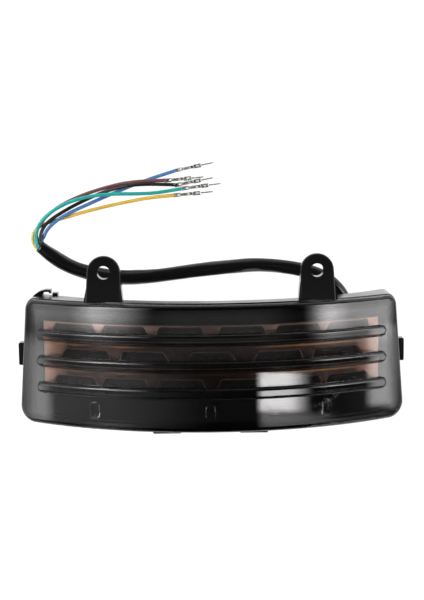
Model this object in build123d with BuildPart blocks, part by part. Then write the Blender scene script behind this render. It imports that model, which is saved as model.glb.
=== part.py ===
from build123d import *

import os
from math import asin, atan2, cos, pi, radians, sin, sqrt, tan

# A curved LED tail light for the rear fender of a touring motorcycle, in millimetres.
# It lies on its back, as on a bench: +Z is the way the light shines, +Y runs towards the
# two mounting ears and +X to the right as seen by someone looking at the lens.
# The table is z = 0, and the origin is under the middle of the lamp's outline.

os.makedirs("parts", exist_ok=True)

# --- Driving dimensions: the front outline, a trapezoid a little wider at the bottom ---
LENS_HEIGHT = 69.1
LENS_HALF_TOP = 102.2
LENS_HALF_BOTTOM = 107.5
CORNER_TOP = 5.5
CORNER_BOTTOM = 9.0
EAR_REACH = 25.3  # from the lens's top edge to the top of the ears
TONGUE_REACH = 2.3  # from the lens's bottom edge to the tips of the lower tongues
LENS_Y = (TONGUE_REACH - EAR_REACH) / 2
LENS_TOP = LENS_Y + LENS_HEIGHT / 2
LENS_BOTTOM = LENS_Y - LENS_HEIGHT / 2

# --- Driving dimensions: the arcs across the lamp, all with their axes along Y ---
FACE_Z = 58.0  # the top of the lens's crown
FACE_R = 175.0
FACE_AXIS_Z = FACE_Z - FACE_R
SADDLE_R = 135.0  # the hollow back, which sits over a fender
SADDLE_Z = 43.0
SADDLE_AXIS_Z = SADDLE_Z - SADDLE_R
SPAN = 70.0  # half the length of every cutting cylinder, more than the lamp's height

# --- Lens ---
LENS_WALL = 2.4
LENS_EDGE = 2.7  # radius of the rounded edge around the front
SEAM_R = 170.2
TONGUE_FOOT_R = 166.0
TONGUE_OUT = 2.3
TONGUE_IN = 4.1
BAR_HALF_LENGTH = 96.4
BAR_HEIGHT = 6.4
BAR_PROUD = 2.0
BAR_EDGE = 1.75
BAR_PITCH = 14.5
BAR_MIDDLE_Y = LENS_Y + 1.3
BAR_YS = (BAR_MIDDLE_Y + BAR_PITCH, BAR_MIDDLE_Y, BAR_MIDDLE_Y - BAR_PITCH)
PAD_XS = (-63.4, -0.7, 62.0)
PAD_Y = LENS_BOTTOM + 11.2
PAD_LENGTH, PAD_WIDTH, PAD_PROUD, PAD_EDGE = 9.4, 5.4, 0.9, 0.5
PAD_WELL_LENGTH, PAD_WELL_WIDTH, PAD_WELL_DEPTH = 6.6, 2.6, 0.4

# --- Rear housing ---
HOUSING_LIP = 0.4  # how far the housing stands outside the lens
HOUSING_INSET = 2.0
RIM_R = 169.7
FLOOR = 2.2
POST_X, POST_R = 90.1, 1.7
POST_YS = (8.0, -3.0, -20.5)

# --- Mounting ears ---
EAR_X = 57.4
EAR_HOLE_Y = LENS_TOP + 16.3
EAR_R = LENS_TOP + EAR_REACH - EAR_HOLE_Y
EAR_HOLE_R = 3.65
EAR_FRONT_Z = 43.0
EAR_PLATE = 3.0
# At the housing the ears reach further on their outer side than towards the middle.
EAR_BASE = {-1: 8.9, 1: 10.0}
FLANGE_BASE = {-1: 9.8, 1: 11.4}
FLANGE_WALL = 2.2
FLANGE_DEPTH = 9.0
COLLAR_R, COLLAR_DEPTH = 5.6, 4.0

# --- Snaps, tongues and hook on the housing's edges ---
SNAP_Y, SNAP_HEIGHT = LENS_Y + 2.6, 12.7
SNAP_Z, SNAP_DEPTH = 9.5, 6.0
SNAP_REACH_X = 108.1
TONGUE_XS = (-24.4, 22.6)
TONGUE_WIDTH = 15.4
TONGUE_Z, TONGUE_DEPTH = 43.5, 3.4
HOOK_Z, HOOK_DEPTH = 5.0, 6.0

# --- Cells behind the lens, three rows, each with its own comb-shaped bezel ---
BEZEL_R = 169.6
BEZEL = 1.2
BEZEL_HALF = 91.8
BEZEL_CLEAR = 1.6  # the combs stop this far from a bar's centre line
BEZEL_TOP_LAND = 0.8
CELL_BELOW_BAR = 3.2
CELL_ROUND = 1.5
REFLECTOR_R = BEZEL_R - BEZEL - 0.1
REFLECTOR = 2.8
REFLECTOR_HALF = 87.9
REFLECTOR_MARGIN = 0.8
BOARD_R = REFLECTOR_R - REFLECTOR - 0.1
BOARD = 1.0
BOARD_HALF = 87.0
CUP_TAPER = 14
# One row: its name, the cells' reach above the bar, the end cells' outer x, and its
# separators as (x, width at the top, width at the waist), from left to right.
SIX_CELLS = [(-60.6, 6.5, 1.4), (-31.5, 8.6, 3.8), (0, 10.6, 6.0), (31.5, 8.6, 3.8), (60.6, 6.5, 1.4)]
FIVE_CELLS = [(-51.7, 8.6, 4.8), (-17.8, 16.0, 9.2), (17.8, 16.0, 9.2), (51.7, 8.6, 4.8)]
ROWS = [
    ("upper", BAR_YS[0], 6.35, 86.9, 1.6, SIX_CELLS),
    ("middle", BAR_YS[1], 7.2, 82.5, 3.6, FIVE_CELLS),
    ("lower", BAR_YS[2], 6.8, 86.9, 2.6, SIX_CELLS),
]

# --- LEDs, screws and the driver board ---
LED_SIZE, LED_HEIGHT, LED_LENS_R = 2.8, 1.0, 1.05
LED_GAP = 6.4
TURN_FROM_X = 45.0  # cells further out than this hold the amber turn-signal LEDs
SCREW_R, SCREW_HEAD_R, SCREW_HEAD, SCREW_LENGTH = 0.8, 1.6, 0.9, 3.2
DRIVER_X, DRIVER_Y = 78.5, -10.0
DRIVER_WIDTH, DRIVER_LENGTH, DRIVER_THICK = 21.0, 36.0, 1.2
DRIVER_R = 163.0
JUMPER_R = 0.45

# --- Harness ---
SLEEVE_D = 8.0
WIRE_D = 2.0
EXIT_X, EXIT_Y = 32.0, -35.0
GROMMET_BORE_R, GROMMET_NECK_R, GROMMET_FLANGE_R = 4.0, 5.4, 7.4
GROMMET_INNER_R = 6.1
NOSE_R = 6.0
EXIT_Z = 28.0
BUNDLE_D = 4.6
TAIL_D = 0.9


def front_outline(inset, z=0):
    """The lamp's rounded trapezoid seen from the front, drawn in by inset, at height z."""
    with BuildSketch(Plane.XY.offset(z)) as shape:
        Polygon(
            (-LENS_HALF_BOTTOM, LENS_BOTTOM),
            (LENS_HALF_BOTTOM, LENS_BOTTOM),
            (LENS_HALF_TOP, LENS_TOP),
            (-LENS_HALF_TOP, LENS_TOP),
            align=None,
        )
        fillet(shape.vertices().group_by(Axis.Y)[0], CORNER_BOTTOM)
        fillet(shape.vertices().group_by(Axis.Y)[-1], CORNER_TOP)
        if inset:
            offset(amount=-inset, mode=Mode.REPLACE)
    return shape.sketch


def round_section(radius, axis_z=FACE_AXIS_Z):
    """A disc across the lamp; extruded along Y it gives a cylinder to cut with."""
    with BuildSketch(Plane.XZ) as shape:
        with Locations((0, axis_z)):
            Circle(radius)
    return shape.sketch


def keep_inside(radius, axis_z=FACE_AXIS_Z):
    extrude(round_section(radius, axis_z), amount=SPAN, both=True, mode=Mode.INTERSECT)


def cut_inside(radius, axis_z=FACE_AXIS_Z):
    extrude(round_section(radius, axis_z), amount=SPAN, both=True, mode=Mode.SUBTRACT)


def curved_block(inset, top_r, foot_r):
    """What lies inside the outline, between two cylinders coaxial with the lens's face."""
    with BuildPart() as block:
        extrude(front_outline(inset), amount=FACE_Z)
        keep_inside(top_r)
        cut_inside(foot_r)
    return block.part


def face_plane(x, y, radius):
    """The plane that touches a cylinder coaxial with the lens's face, behind the bezel's point x, y."""
    turn = asin(x / BEZEL_R)
    return Plane(
        origin=(radius * sin(turn), y, FACE_AXIS_Z + radius * cos(turn)),
        x_dir=(cos(turn), 0, -sin(turn)),
        z_dir=(sin(turn), 0, cos(turn)),
    )


def curved_strip(half_width, low_y, high_y, top_r, foot_r):
    """A curved slab as wide as 2 * half_width, between two heights on the lamp's front."""
    with BuildPart() as strip:
        with BuildSketch():
            with Locations((0, (low_y + high_y) / 2)):
                Rectangle(2 * half_width, high_y - low_y)
        extrude(amount=FACE_Z)
        keep_inside(top_r)
        cut_inside(foot_r)
    return strip.part


def save(builder, name):
    builder.part.label = name
    export_step(builder.part, f"parts/{name}.step")


# --- Rear housing: a tray that follows the lens, with a hollow back ---
with BuildPart() as cavity:
    extrude(front_outline(HOUSING_INSET, FLOOR), amount=FACE_Z)
    cut_inside(SADDLE_R + FLOOR, SADDLE_AXIS_Z)

with BuildPart() as posts:
    with BuildSketch(Plane.XY.offset(FLOOR / 2)):
        with Locations(*[(x, y) for x in (-POST_X, POST_X) for y in POST_YS]):
            Circle(POST_R)
    extrude(amount=FACE_Z)
    keep_inside(BEZEL_R - BEZEL - 0.05)
    cut_inside(SADDLE_R + FLOOR / 2, SADDLE_AXIS_Z)

with BuildPart() as right_ear:
    # Front plate: a tapering tab with a round top.
    with BuildSketch(Plane.XY.offset(EAR_FRONT_Z)) as ear_shape:
        with Locations((0, EAR_HOLE_Y)):
            Circle(EAR_R)
        with Locations(((EAR_BASE[1] - EAR_BASE[-1]) / 2, LENS_TOP + HOUSING_LIP / 2 + 0.5)):
            Rectangle(EAR_BASE[1] + EAR_BASE[-1], 1)
        make_hull()
    extrude(amount=-EAR_PLATE)
    front_edges = right_ear.faces().sort_by(Axis.Z)[-1].edges()
    chamfer(front_edges.sort_by(Axis.Y)[1:], 0.5)
    # Two flanges behind it that flare out to the housing's wall.
    with BuildSketch(Plane.XY.offset(EAR_FRONT_Z - EAR_PLATE)) as flange_shape:
        for side in (-1, 1):
            Polygon(
                (side * FLANGE_BASE[side], LENS_TOP + HOUSING_LIP / 2),
                (side * (EAR_R - 0.2), EAR_HOLE_Y - 4),
                (side * (EAR_R - 1.2), EAR_HOLE_Y + 1),
                (side * (EAR_R - FLANGE_WALL - 1), EAR_HOLE_Y - 4),
                (side * (EAR_BASE[side] - FLANGE_WALL), LENS_TOP + HOUSING_LIP / 2),
                align=None,
            )
    extrude(amount=-FLANGE_DEPTH)
    # A collar lengthens the bolt hole behind the plate.
    with BuildSketch(Plane.XY.offset(EAR_FRONT_Z - EAR_PLATE)):
        with Locations((0, EAR_HOLE_Y)):
            Circle(COLLAR_R)
    extrude(amount=-COLLAR_DEPTH)
    with Locations((0, EAR_HOLE_Y, EAR_FRONT_Z)):
        Hole(EAR_HOLE_R)

with BuildPart() as hook:
    # A small open hook for a lead, on the top wall's left corner.
    with BuildSketch(Plane.XY.offset(HOOK_Z)):
        with BuildLine():
            Polyline(
                (-101.4, LENS_TOP - 3.2),
                (-99.3, LENS_TOP + 0.6),
                (-96.2, LENS_TOP + 2.7),
                (-93.0, LENS_TOP + 3.6),
                (-89.7, LENS_TOP + 3.5),
                (-89.6, LENS_TOP + 1.5),
                (-90.6, LENS_TOP + 1.5),
                (-91.0, LENS_TOP + 2.3),
                (-93.4, LENS_TOP + 2.3),
                (-94.8, LENS_TOP + 0.3),
                (-96.0, LENS_TOP - 1.0),
                close=True,
            )
        make_face()
        with Locations((-87.4, LENS_TOP + 0.6)):
            Rectangle(3.0, 2.2)
    extrude(amount=HOOK_DEPTH)

with BuildPart() as rear_housing:
    extrude(front_outline(-HOUSING_LIP), amount=FACE_Z)
    keep_inside(RIM_R)
    cut_inside(SADDLE_R, SADDLE_AXIS_Z)
    add(cavity.part, mode=Mode.SUBTRACT)
    add(posts.part)
    placed_ear = right_ear.part.moved(Location((EAR_X, 0, 0)))
    add(placed_ear)
    mirror(placed_ear, about=Plane.YZ)
    add(hook.part)
    # Side snaps, half-way up the two end walls.
    for side in (-1, 1):
        with BuildSketch(Plane.XY.offset(SNAP_Z)) as snap_shape:
            with Locations((side * (SNAP_REACH_X - 2.5), SNAP_Y)):
                RectangleRounded(5.0, SNAP_HEIGHT, 0.9)
        extrude(amount=SNAP_DEPTH)
    # Two tongues under the bottom wall.
    with BuildSketch(Plane.XY.offset(TONGUE_Z)) as tongue_shape:
        with Locations(*[(x, LENS_BOTTOM - TONGUE_REACH + 2.2) for x in TONGUE_XS]):
            RectangleRounded(TONGUE_WIDTH, 4.4, 0.8)
    extrude(amount=TONGUE_DEPTH)
    # The round hole for the harness grommet.
    with Locations((EXIT_X, EXIT_Y, FACE_Z)):
        Hole(GROMMET_NECK_R)
save(rear_housing, "rear_housing")

# --- Lens: a smoked shell with three bars, three small pads and a tongue for the seam ---
with BuildPart() as bars:
    with BuildSketch():
        with Locations(*[(0, y) for y in BAR_YS]):
            SlotOverall(2 * BAR_HALF_LENGTH, BAR_HEIGHT)
    extrude(amount=FACE_Z + BAR_PROUD)
    keep_inside(FACE_R + BAR_PROUD)
    fillet(bars.faces().sort_by(Axis.Z)[-3:].edges(), BAR_EDGE)
    cut_inside(FACE_R - LENS_WALL / 2)

with BuildPart() as pads:
    with BuildSketch():
        with Locations(*[(x, PAD_Y) for x in PAD_XS]):
            SlotOverall(PAD_LENGTH, PAD_WIDTH, rotation=90)
    extrude(amount=FACE_Z + PAD_PROUD)
    keep_inside(FACE_R + PAD_PROUD)
    fillet(pads.faces().filter_by(GeomType.CYLINDER).sort_by(SortBy.AREA)[:3].edges(), PAD_EDGE)
    cut_inside(FACE_R - LENS_WALL / 2)

with BuildPart() as pad_wells:
    with BuildSketch():
        with Locations(*[(x, PAD_Y) for x in PAD_XS]):
            SlotOverall(PAD_WELL_LENGTH, PAD_WELL_WIDTH, rotation=90)
    extrude(amount=FACE_Z + BAR_PROUD)
    cut_inside(FACE_R + PAD_PROUD - PAD_WELL_DEPTH)

with BuildPart() as lens:
    extrude(front_outline(0), amount=FACE_Z + 1)
    keep_inside(FACE_R)
    fillet(lens.faces().filter_by(GeomType.CYLINDER).sort_by(SortBy.AREA)[-1].edges(), LENS_EDGE)
    cut_inside(SEAM_R)
    add(curved_block(TONGUE_OUT, SEAM_R + 0.5, TONGUE_FOOT_R))
    add(bars.part)
    add(pads.part)
    add(pad_wells.part, mode=Mode.SUBTRACT)
    add(curved_block(TONGUE_IN, FACE_R - LENS_WALL, FACE_R / 2), mode=Mode.SUBTRACT)
save(lens, "lens")

with BuildPart() as lens_seal:
    add(curved_block(0.3, SEAM_R - 0.02, RIM_R + 0.02))
    add(curved_block(TONGUE_OUT - 0.1, SEAM_R, RIM_R - 1), mode=Mode.SUBTRACT)
save(lens_seal, "lens_seal")

# --- Bezel, reflectors and LED boards ---


def cell_edges(end_x, end_slant, separators):
    """Each cell as (left at top, left at waist, right at top, right at waist), in x."""
    left = [(-end_x + end_slant, -end_x)]
    left += [(x + top / 2, x + waist / 2) for x, top, waist in separators]
    right = [(x - top / 2, x - waist / 2) for x, top, waist in separators]
    right += [(end_x - end_slant, end_x)]
    return [(*a, *b) for a, b in zip(left, right)]


def cell_shape(edges, low_y, high_y, inset):
    """A cell's rounded six-sided window, flat on the plane that touches the bezel there."""
    left_top, left_waist, right_top, right_waist = edges
    middle_x = (left_waist + right_waist) / 2
    middle_y = (low_y + high_y) / 2
    turn = asin(middle_x / BEZEL_R)

    def across(x):
        return BEZEL_R * sin(asin(x / BEZEL_R) - turn)

    with BuildSketch(face_plane(middle_x, middle_y, BEZEL_R)) as shape:
        Polygon(
            (across(left_top), high_y - middle_y),
            (across(right_top), high_y - middle_y),
            (across(right_waist), 0),
            (across(right_top), low_y - middle_y),
            (across(left_top), low_y - middle_y),
            (across(left_waist), 0),
            align=None,
        )
        fillet(shape.vertices(), CELL_ROUND)
        if inset:
            offset(amount=-inset, mode=Mode.REPLACE)
    return shape.sketch


def screw_places(separators):
    """A board's two screws go into the thicker walls between cells, either side of the middle."""
    return [x for x, _, waist in separators if waist > 3 and 0 < abs(x) < 40]


# Each comb fills the gap between two bars: a land at its top, teeth that stop above its own bar.
comb_tops = (BAR_YS[0] + ROWS[0][2] + BEZEL_TOP_LAND, BAR_YS[0] - BEZEL_CLEAR, BAR_YS[1] - BEZEL_CLEAR)
for (row_name, bar_y, above, end_x, end_slant, separators), comb_top in zip(ROWS, comb_tops):
    with BuildPart() as bezel:
        add(curved_strip(BEZEL_HALF, bar_y + BEZEL_CLEAR, comb_top, BEZEL_R, BEZEL_R - BEZEL))
        for edges in cell_edges(end_x, end_slant, separators):
            window = cell_shape(edges, bar_y - CELL_BELOW_BAR, bar_y + above, 0)
            extrude(window, amount=4, both=True, mode=Mode.SUBTRACT)
    save(bezel, f"bezel_{row_name}")

led_places = []
for row_name, bar_y, above, end_x, end_slant, separators in ROWS:
    low_y, high_y = bar_y - CELL_BELOW_BAR, bar_y + above
    screw_xs, screw_y = screw_places(separators), (low_y + high_y) / 2
    with BuildPart() as reflector:
        add(
            curved_strip(
                REFLECTOR_HALF,
                low_y - REFLECTOR_MARGIN,
                high_y + REFLECTOR_MARGIN,
                REFLECTOR_R,
                REFLECTOR_R - REFLECTOR,
            )
        )
        for edges in cell_edges(end_x, end_slant, separators):
            extrude(
                cell_shape(edges, low_y, high_y, 0.1),
                amount=-6,
                taper=CUP_TAPER,
                mode=Mode.SUBTRACT,
            )
        for x in screw_xs:
            with BuildSketch(face_plane(x, screw_y, REFLECTOR_R - REFLECTOR)):
                Circle(SCREW_R + 0.02)
            extrude(amount=SCREW_LENGTH - BOARD, both=True, mode=Mode.SUBTRACT)
    save(reflector, f"reflector_{row_name}")

    with BuildPart() as board:
        add(
            curved_strip(
                BOARD_HALF,
                low_y - REFLECTOR_MARGIN,
                high_y + REFLECTOR_MARGIN,
                BOARD_R,
                BOARD_R - BOARD,
            )
        )
        for x in screw_xs:
            with BuildSketch(face_plane(x, screw_y, BOARD_R)):
                Circle(SCREW_R + 0.1)
            extrude(amount=2, both=True, mode=Mode.SUBTRACT)
    save(board, f"led_board_{row_name}")

    for edges in cell_edges(end_x, end_slant, separators):
        middle_x = (edges[1] + edges[3]) / 2
        for step in (-1, 0, 1):
            led_places.append((middle_x + step * LED_GAP * 0.9, screw_y))

# --- LEDs: a square body with a round window, three to a cell ---


def led_group(places):
    with BuildPart() as group:
        for x, y in places:
            with BuildSketch(face_plane(x, y, BOARD_R + 0.05)):
                RectangleRounded(LED_SIZE, LED_SIZE, 0.3)
            extrude(amount=LED_HEIGHT)
            with BuildSketch(face_plane(x, y, BOARD_R + 0.05 + LED_HEIGHT)):
                Circle(LED_LENS_R)
            extrude(amount=0.25)
    return group


save(led_group([p for p in led_places if abs(p[0]) < TURN_FROM_X]), "leds_tail_and_brake")
save(led_group([p for p in led_places if p[0] < -TURN_FROM_X]), "leds_turn_left")
save(led_group([p for p in led_places if p[0] > TURN_FROM_X]), "leds_turn_right")

# --- Screws that hold each LED board to its reflector, from behind ---
with BuildPart() as board_screws:
    for _, bar_y, above, _, _, separators in ROWS:
        screw_y = bar_y + (above - CELL_BELOW_BAR) / 2
        for x in screw_places(separators):
            back = face_plane(x, screw_y, BOARD_R - BOARD - 0.05)
            with BuildSketch(back):
                Circle(SCREW_HEAD_R)
            extrude(amount=-SCREW_HEAD)
            with BuildSketch(back):
                Circle(SCREW_R)
            extrude(amount=SCREW_LENGTH)
save(board_screws, "board_screws")

# --- Short jumper wires from board to board, soldered on behind ---
with BuildPart() as board_jumpers:
    for upper, lower in ((ROWS[0], ROWS[1]), (ROWS[1], ROWS[2])):
        low_y = upper[1] - CELL_BELOW_BAR - REFLECTOR_MARGIN
        high_y = lower[1] + lower[2] + REFLECTOR_MARGIN
        for x in (-66.0, -63.0, -60.0, 60.0, 63.0, 66.0):
            jumper_r = BOARD_R - BOARD - JUMPER_R - 0.05
            turn = asin(x / jumper_r)
            with BuildSketch(
                Plane(
                    origin=(x, high_y - 1.6, FACE_AXIS_Z + jumper_r * cos(turn)),
                    x_dir=(1, 0, 0),
                    z_dir=(0, 1, 0),
                )
            ):
                Circle(JUMPER_R)
            extrude(amount=low_y - high_y + 3.2)
save(board_jumpers, "board_jumpers")

# --- Driver board at the right-hand end, with its components on the back ---
driver_plane = face_plane(DRIVER_X, DRIVER_Y, DRIVER_R)
with BuildPart() as driver_board:
    with BuildSketch(driver_plane):
        RectangleRounded(DRIVER_WIDTH, DRIVER_LENGTH, 1.0)
    extrude(amount=-DRIVER_THICK)
save(driver_board, "driver_board")

component_plane = driver_plane.offset(-DRIVER_THICK - 0.02)


def chips(places, width, length, height, rounding=0.2):
    """Component bodies on the back of the driver board."""
    with BuildPart() as group:
        with BuildSketch(component_plane):
            with Locations(*places):
                RectangleRounded(width, length, rounding)
        extrude(amount=-height)
    return group


save(chips([(-5.5, 12), (-5.5, 3), (-5.5, -6)], 6.5, 6.1, 2.3), "regulators")
save(chips([(1.5, 13), (1.5, 9), (1.5, 5), (1.5, 1), (1.5, -3)], 4.4, 2.6, 2.1), "diodes")
save(chips([(7, 13), (7, 8.5), (7, 4), (7, -0.5)], 3.2, 2.4, 0.7, 0.1), "resistors")
save(chips([(6.5, -5.5), (6.5, -10)], 4.3, 3.4, 1.9, 0.3), "capacitors")

# --- Grommet: holds the harness where it leaves the housing's back ---
WALL_TOP_Z = SADDLE_AXIS_Z + sqrt((SADDLE_R + FLOOR) ** 2 - EXIT_X**2)
WALL_BACK_Z = SADDLE_AXIS_Z + sqrt(SADDLE_R**2 - EXIT_X**2)
SLOPE_ROOM = 2.1  # the back wall falls this much across the grommet's flange

with BuildPart() as cable_grommet:
    with BuildSketch(Plane.XY.offset(EXIT_Z)):
        with Locations((EXIT_X, EXIT_Y)):
            Circle(GROMMET_NECK_R - 0.1)
    extrude(amount=WALL_TOP_Z + SLOPE_ROOM - EXIT_Z)
    with BuildSketch(Plane.XY.offset(EXIT_Z)):
        with Locations((EXIT_X, EXIT_Y)):
            Circle(NOSE_R)
    with BuildSketch(Plane.XY.offset(WALL_BACK_Z - SLOPE_ROOM)):
        with Locations((EXIT_X, EXIT_Y)):
            Circle(GROMMET_FLANGE_R)
    loft()
    with BuildSketch(Plane.XY.offset(WALL_TOP_Z + SLOPE_ROOM)):
        with Locations((EXIT_X, EXIT_Y)):
            Circle(GROMMET_INNER_R)
    extrude(amount=1.4)
    with Locations((EXIT_X, EXIT_Y, FACE_Z)):
        Hole(GROMMET_BORE_R)
save(cable_grommet, "cable_grommet")


# --- Cords: straight runs joined by arcs as large as the runs allow ---
def corner_radii(points):
    radii = []
    for before, here, after in zip(points, points[1:], points[2:]):
        one = Vector(*here) - Vector(*before)
        two = Vector(*after) - Vector(*here)
        half_turn = radians(one.get_angle(two)) / 2
        radii.append(0.45 * min(one.length, two.length) / tan(half_turn))
    return radii


def cord(name, points, diameter):
    """One cord's solid: a plain tube along straight runs and tangent arcs."""
    radii = corner_radii(points)
    path = FilletPolyline(*points, radius=radii).wire()
    with BuildPart() as tube:
        with BuildSketch(Plane(origin=path @ 0, z_dir=path % 0)):
            Circle(diameter / 2)
        sweep(path=path)
    section = pi * diameter**2 / 4
    print(
        f"{name}: length {path.length:.1f}, volume over section {tube.part.volume / section:.1f}, "
        f"smallest bend {min(radii):.1f}, bends {[round(r, 1) for r in radii]}"
    )
    save(tube, name)


LIE = SLEEVE_D / 2
SLEEVE_ROUTE = [
    (EXIT_X, EXIT_Y, EXIT_Z - 0.2),
    (32.3, -35.0, 19.6),
    (37.4, -35.0, 11.0),
    (47.0, -34.8, 5.4),
    (58.2, -32.0, LIE),
    (68.0, -25.0, LIE),
    (75.0, -15.6, LIE),
    (78.2, -4.6, LIE),
    (78.7, 6.0, LIE),
    (76.2, 17.0, LIE),
    (70.6, 26.15, LIE),
    (61.6, 32.75, LIE),
    (50.0, 35.9, LIE),
    (37.0, 38.0, LIE),
    (24.0, 38.9, LIE),
    (10.0, 37.55, LIE),
    (-6.0, 36.05, LIE),
    (-22.0, 33.85, LIE),
    (-37.0, 32.35, LIE),
    (-52.0, 32.15, LIE),
    (-67.0, 34.55, LIE),
    (-79.5, 38.95, LIE),
    (-88.6, 44.35, LIE),
    (-96.0, 50.35, LIE),
]
cord("harness_sleeve", SLEEVE_ROUTE, SLEEVE_D)

# The five leads leave the sleeve's open end side by side and fan out on the table.
ON_TABLE = WIRE_D / 2
WIRE_ROUTES = {
    "wire_yellow": [
        (-97.6, 48.9, 3.7),
        (-99.9, 52.6, 2.9),
        (-100.2, 57.0, 1.4),
        (-97.4, 61.0, ON_TABLE),
        (-91.6, 63.6, ON_TABLE),
        (-83.0, 65.9, ON_TABLE),
        (-70.5, 69.5, ON_TABLE),
        (-56.5, 72.8, ON_TABLE),
        (-42.0, 75.6, ON_TABLE),
        (-30.6, 77.4, ON_TABLE),
        (-18.6, 78.2, ON_TABLE),
    ],
    "wire_green": [
        (-96.9, 50.2, 6.3),
        (-98.0, 53.7, 5.8),
        (-98.0, 57.8, 5.3),
        (-96.4, 62.0, 5.1),
        (-93.2, 66.4, 5.1),
        (-87.6, 71.0, 5.1),
        (-78.0, 75.8, 5.0),
        (-66.0, 78.7, 4.6),
        (-54.0, 79.5, 4.1),
        (-43.0, 79.3, 2.6),
        (-32.0, 79.4, 1.2),
        (-22.4, 80.7, ON_TABLE),
        (-14.0, 82.0, ON_TABLE),
    ],
    "wire_maroon": [
        (-97.0, 50.0, 1.7),
        (-97.5, 53.2, 1.9),
        (-98.1, 57.4, 3.0),
        (-96.6, 61.6, 3.1),
        (-93.4, 65.9, 3.05),
        (-88.8, 70.0, 2.1),
        (-83.2, 73.7, ON_TABLE),
        (-76.2, 77.0, ON_TABLE),
        (-67.8, 80.2, ON_TABLE),
        (-59.0, 82.8, ON_TABLE),
        (-50.0, 85.0, 1.7),
        (-41.2, 86.2, 3.15),
        (-32.4, 86.5, 3.1),
        (-23.6, 86.6, 1.3),
    ],
    "wire_black": [
        (-95.6, 52.2, 5.5),
        (-95.5, 55.2, 4.5),
        (-95.0, 58.6, 3.35),
        (-93.0, 62.2, 3.1),
        (-89.4, 65.5, 3.0),
        (-84.2, 68.8, 1.8),
        (-76.8, 72.9, ON_TABLE),
        (-68.8, 76.7, ON_TABLE),
        (-60.4, 80.2, ON_TABLE),
        (-51.8, 82.8, 2.8),
        (-43.0, 84.4, 4.4),
        (-34.2, 84.7, 4.3),
        (-26.0, 84.35, 1.9),
        (-18.0, 84.0, ON_TABLE),
    ],
    "wire_blue": [
        (-95.6, 52.65, 2.7),
        (-93.8, 55.6, 2.8),
        (-92.2, 59.0, 3.05),
        (-89.4, 62.2, 3.05),
        (-85.7, 65.2, 3.05),
        (-81.0, 68.0, 2.8),
        (-75.4, 70.7, 1.6),
        (-69.0, 73.4, ON_TABLE),
        (-62.1, 76.4, ON_TABLE),
        (-55.0, 79.3, ON_TABLE),
        (-47.8, 82.2, ON_TABLE),
        (-40.4, 85.0, ON_TABLE),
        (-32.8, 87.7, ON_TABLE),
        (-25.0, 90.1, ON_TABLE),
        (-17.8, 92.3, ON_TABLE),
    ],
}
for wire_name, wire_route in WIRE_ROUTES.items():
    cord(wire_name, wire_route, WIRE_D)

# --- Crimp pin terminals, one on each lead, lying on the table ---
CRIMP_R, CRIMP_LENGTH = 1.25, 3.2
CORE_R, CORE_LENGTH = 0.95, 3.4
NECK_R, NECK_LENGTH = 0.6, 1.2
BOX_WIDTH, BOX_HEIGHT, BOX_LENGTH = 2.3, 1.9, 4.4
PIN_R, PIN_LENGTH, PIN_POINT = 0.42, 7.4, 1.4


def terminal(name, route, turn):
    """A crimp terminal that carries on from a lead's end, turned a little in the table's plane."""
    end, before = route[-1], route[-2]
    heading = atan2(end[1] - before[1], end[0] - before[0]) + radians(turn)
    ahead = (cos(heading), sin(heading), 0)
    height = CRIMP_R + 0.02
    with BuildPart() as pin:
        reach = 0.25
        for radius, length in (
            (CRIMP_R, CRIMP_LENGTH),
            (NECK_R, NECK_LENGTH),
            (CORE_R, CORE_LENGTH),
            (NECK_R, NECK_LENGTH),
            (None, BOX_LENGTH),
            (PIN_R, PIN_LENGTH),
        ):
            start = (end[0] + ahead[0] * reach, end[1] + ahead[1] * reach, height)
            with BuildSketch(Plane(origin=start, x_dir=(-ahead[1], ahead[0], 0), z_dir=ahead)):
                if radius is None:
                    RectangleRounded(BOX_WIDTH, BOX_HEIGHT, 0.3)
                else:
                    Circle(radius)
            extrude(amount=length)
            reach += length
        tip = pin.faces().sort_by(Axis(start, ahead))[-1]
        chamfer(tip.edges(), PIN_POINT, PIN_R * 0.6)
    save(pin, name)


for wire_name, turn in (
    ("wire_yellow", 1),
    ("wire_green", -2),
    ("wire_maroon", 4),
    ("wire_black", 13),
    ("wire_blue", -6),
):
    terminal(wire_name.replace("wire", "terminal"), WIRE_ROUTES[wire_name], turn)

# --- The leads' inner stretch, still bundled, from the grommet towards the driver board ---
cord(
    "inner_lead_bundle",
    [
        (EXIT_X, EXIT_Y, 38.5),
        (32.2, EXIT_Y, 46.8),
        (37.6, -35.3, 48.6),
        (46.0, -35.5, 45.0),
        (54.0, -35.3, 41.2),
        (60.4, -34.2, 36.8),
        (65.6, -32.4, 32.8),
    ],
    BUNDLE_D,
)

# Past the bundle's end the leads go on one by one to pads on the driver board's lower edge.
pad_plane = driver_plane.offset(-DRIVER_THICK / 2)
with BuildPart() as lead_tails:
    for step in (-2, -1, 0, 1, 2):
        start = Vector(65.8 + 0.5 * step, -32.25, 32.55 + 0.62 * step)
        end = pad_plane.from_local_coords(Vector(1.6 * step - 6, -DRIVER_LENGTH / 2 - 0.5, 0))
        with BuildSketch(Plane(origin=start, z_dir=end - start)):
            Circle(TAIL_D / 2)
        extrude(amount=(end - start).length)
save(lead_tails, "lead_tails")
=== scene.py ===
from math import cos, pi, radians, sin

import bpy
from mathutils import Matrix, Vector, noise


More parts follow.
